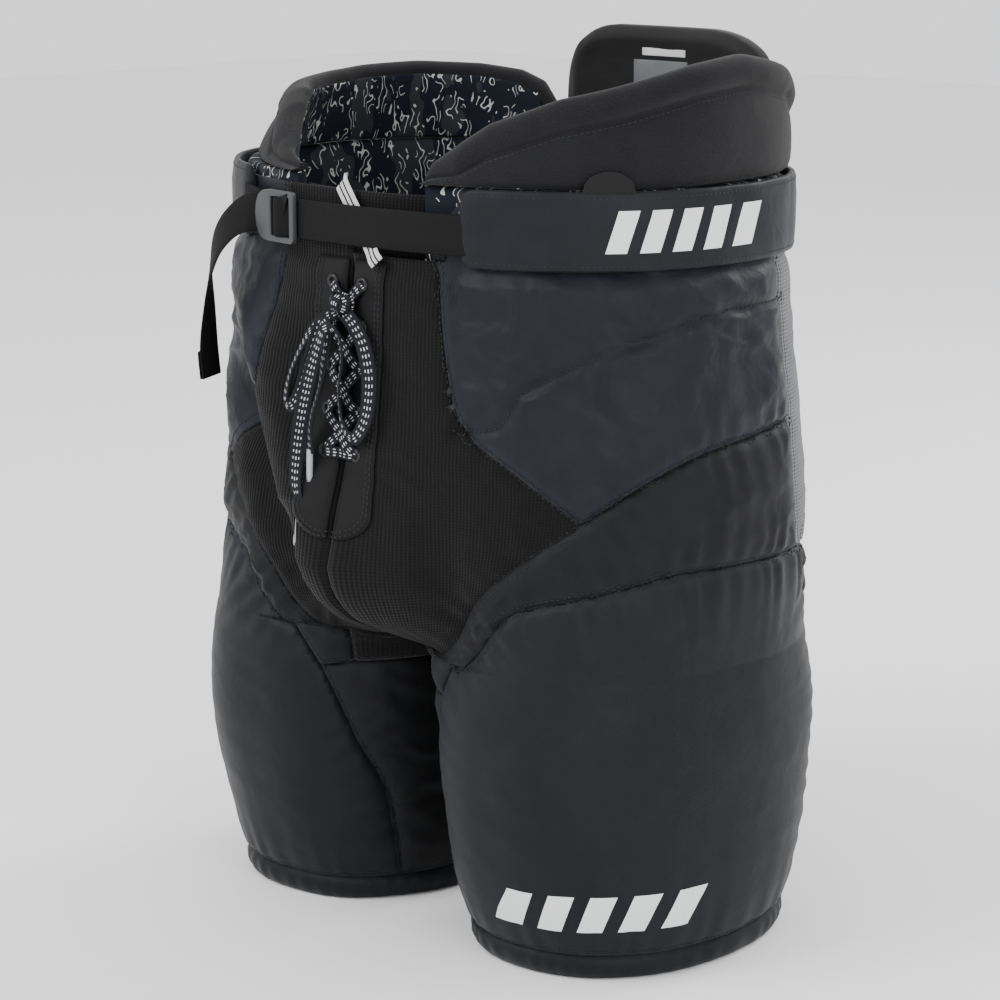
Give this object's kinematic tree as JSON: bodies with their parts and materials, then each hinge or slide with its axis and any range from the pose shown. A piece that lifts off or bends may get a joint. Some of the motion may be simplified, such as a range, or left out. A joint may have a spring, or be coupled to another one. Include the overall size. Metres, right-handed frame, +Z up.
{
  "type": "ice hockey pants",
  "caption": "Laced, belted protective hockey shorts with padded thighs, kidney pads, a spine pad and a lace-up fly, standing on their hems",
  "frame": {"origin": "On the floor under the middle of the pants, which stand on their two hems.", "axes": "+Z is up, the wearer faces -Y, and the wearer's left leg is on +X."},
  "size_m": [0.4084, 0.329, 0.578],
  "materials": {
    "knit": "ribbed mesh knit, black",
    "satin": "wrinkled satin nylon, charcoal with a blue cast",
    "nylon": "plain nylon, charcoal",
    "twill": "fine nylon twill with a soft sheen, charcoal",
    "side_mesh": "knitted mesh, silver grey",
    "guard_plastic": "moulded polyethylene guard",
    "foam_core": "closed-cell foam",
    "liner": "printed lining cloth, dark navy",
    "heather": "brushed heather knit over foam, charcoal",
    "black_foam": "skinned foam, black",
    "tag": "woven tag, grey, blank",
    "webbing": "woven nylon webbing, black",
    "buckle_plastic": "moulded nylon, dark grey",
    "tape": "woven tape, white with fine black stripes",
    "eyelet_plastic": "rolled eyelet, black",
    "lace": "flat twill lace, charcoal with white dashes",
    "aglet_plastic": "clear heat-shrunk sleeve over the lace"
  },
  "bodies": {
    "hips": {"crotch_panel_left": "knit", "crotch_panel_right": "knit", "hip_panel_left": "satin", "hip_panel_right": "satin", "mid_panel_left": "nylon", "mid_panel_right": "nylon", "side_mesh_left": "side_mesh", "side_mesh_right": "side_mesh", "seat_panel_left": "knit", "seat_panel_right": "knit", "hip_guard_left": "guard_plastic", "hip_guard_right": "guard_plastic", "hip_foam_left": "foam_core", "hip_foam_right": "foam_core", "kidney_base_left": "foam_core", "kidney_base_right": "foam_core", "tail_pad": "foam_core", "belt_cover_left": "satin", "belt_cover_right": "satin", "belt_strap": "webbing", "belt_anchor": "webbing", "fly_placket_left": "knit", "fly_placket_right": "knit", "fly_tongue": "knit", "waist_tape": "tape", "eyelet_left_1": "eyelet_plastic", "eyelet_left_2": "eyelet_plastic", "eyelet_left_3": "eyelet_plastic", "eyelet_left_4": "eyelet_plastic", "eyelet_left_5": "eyelet_plastic", "eyelet_right_1": "eyelet_plastic", "eyelet_right_2": "eyelet_plastic", "eyelet_right_3": "eyelet_plastic", "eyelet_right_4": "eyelet_plastic", "eyelet_right_5": "eyelet_plastic", "lace_crossings": "lace", "lace_end_left": "lace", "lace_end_right": "lace", "aglet_left": "aglet_plastic", "aglet_right": "aglet_plastic"},
    "left_leg": {"thigh_panel_left": "twill", "back_leg_panel_left": "nylon", "inner_thigh_left": "nylon", "hem_band_left": "twill", "thigh_guard_left": "guard_plastic", "thigh_foam_left": "foam_core", "leg_liner_left": "liner"},
    "right_leg": {"thigh_panel_right": "twill", "back_leg_panel_right": "nylon", "inner_thigh_right": "nylon", "hem_band_right": "twill", "thigh_guard_right": "guard_plastic", "thigh_foam_right": "foam_core", "leg_liner_right": "liner"},
    "left_kidney": {"kidney_pad_left": "heather"},
    "right_kidney": {"kidney_pad_right": "heather"},
    "spine": {"spine_pad": "black_foam", "size_tag": "tag"},
    "buckle": {"buckle": "buckle_plastic"},
    "belt_tail": {"belt_tail": "webbing"}
  },
  "joints": [
    {"name": "left_leg_swing", "type": "hinge", "parent": "hips", "child": "left_leg", "pos_m": [0.107, 0, 0.25], "axis": [-1, 0, 0], "range_deg": [-12, 25], "stiffness_Nm_per_rad": 6, "deforming": ["mid_panel_left", "crotch_panel_left", "side_mesh_left", "seat_panel_left"]},
    {"name": "right_leg_swing", "type": "hinge", "parent": "hips", "child": "right_leg", "pos_m": [-0.107, 0, 0.25], "axis": [-1, 0, 0], "range_deg": [-12, 25], "stiffness_Nm_per_rad": 6, "deforming": ["mid_panel_right", "crotch_panel_right", "side_mesh_right", "seat_panel_right"]},
    {"name": "left_kidney_flex", "type": "hinge", "parent": "hips", "child": "left_kidney", "pos_m": [0.1915, 0, 0.4952], "axis": [0, 1, 0], "range_deg": [0, 8], "stiffness_Nm_per_rad": 0.8},
    {"name": "right_kidney_flex", "type": "hinge", "parent": "hips", "child": "right_kidney", "pos_m": [-0.1915, 0, 0.4952], "axis": [0, -1, 0], "range_deg": [0, 8], "stiffness_Nm_per_rad": 0.8},
    {"name": "spine_flex", "type": "hinge", "parent": "hips", "child": "spine", "pos_m": [0, 0.1555, 0.4952], "axis": [-1, 0, 0], "range_deg": [0, 15], "stiffness_Nm_per_rad": 0.8},
    {"name": "buckle_tilt", "type": "hinge", "parent": "hips", "child": "buckle", "pos_m": [-0.0455, -0.1488, 0.467], "axis": [0, 0, 1], "range_deg": [0, 30], "stiffness_Nm_per_rad": 0.05},
    {"name": "belt_tail_swing", "type": "hinge", "parent": "buckle", "child": "belt_tail", "pos_m": [-0.08, -0.1463, 0.467], "axis": [0, 0, 1], "range_deg": [0, 20], "stiffness_Nm_per_rad": 0.02}
  ]
}
